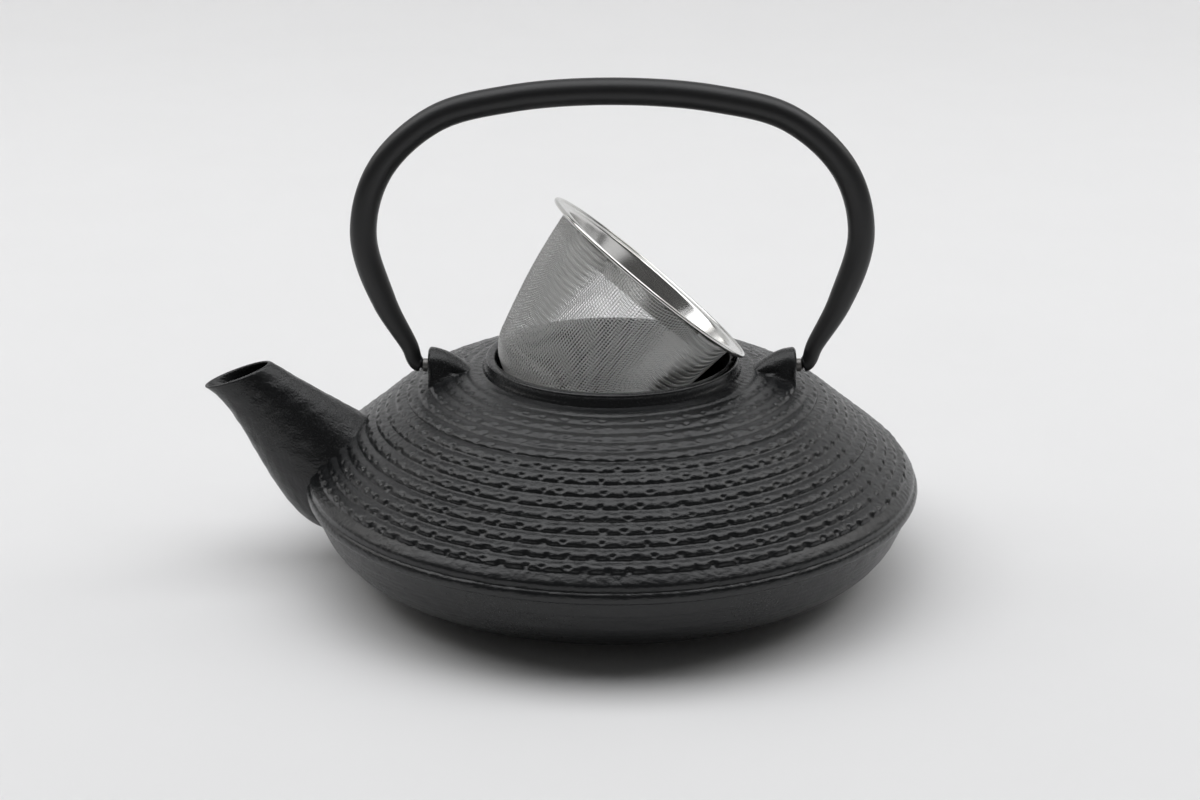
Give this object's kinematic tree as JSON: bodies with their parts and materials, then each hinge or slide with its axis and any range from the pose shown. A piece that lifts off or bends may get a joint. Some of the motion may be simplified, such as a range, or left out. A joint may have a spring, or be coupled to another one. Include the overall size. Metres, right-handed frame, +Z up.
{
  "type": "teapot with infuser",
  "caption": "Low round cast iron teapot with a side spout, a tall swinging bail handle and a removable steel mesh infuser basket leaning in its open mouth.",
  "frame": {"origin": "middle of the underside of the foot, on the pot's vertical axis at floor level", "axes": "+Z up along the pot's axis, -X toward the spout, the handle's plane at rest is XZ"},
  "size_m": [0.2174, 0.1868, 0.1504],
  "materials": {
    "cast_iron": "satin black over a sand-cast skin",
    "coated_steel": "matte black powder coat",
    "bare_steel": "turned",
    "polished_steel": "polished stainless",
    "steel_mesh": "woven stainless wire"
  },
  "bodies": {
    "pot": {"pot_foot": "cast_iron", "pot_bowl": "cast_iron", "pot_shoulder": "cast_iron", "mouth_collar": "cast_iron", "spout": "cast_iron", "lug_spout_side": "cast_iron", "lug_back_side": "cast_iron"},
    "handle": {"handle_tube": "coated_steel", "hinge_pin_spout_side": "bare_steel", "hinge_pin_back_side": "bare_steel"},
    "infuser": {"infuser_rim": "polished_steel", "infuser_mesh": "steel_mesh"}
  },
  "joints": [
    {"name": "handle_swing", "type": "hinge", "parent": "pot", "child": "handle", "pos_m": [0, 0, 0.0627], "axis": [1, 0, 0], "range_deg": [-100, 100]},
    {"name": "infuser_tip", "type": "hinge", "parent": "pot", "child": "infuser", "pos_m": [0.03577, 0.0065, 0.06273], "axis": [-0.1788, 0.9839, 0], "range_deg": [-40.4, 42]}
  ]
}
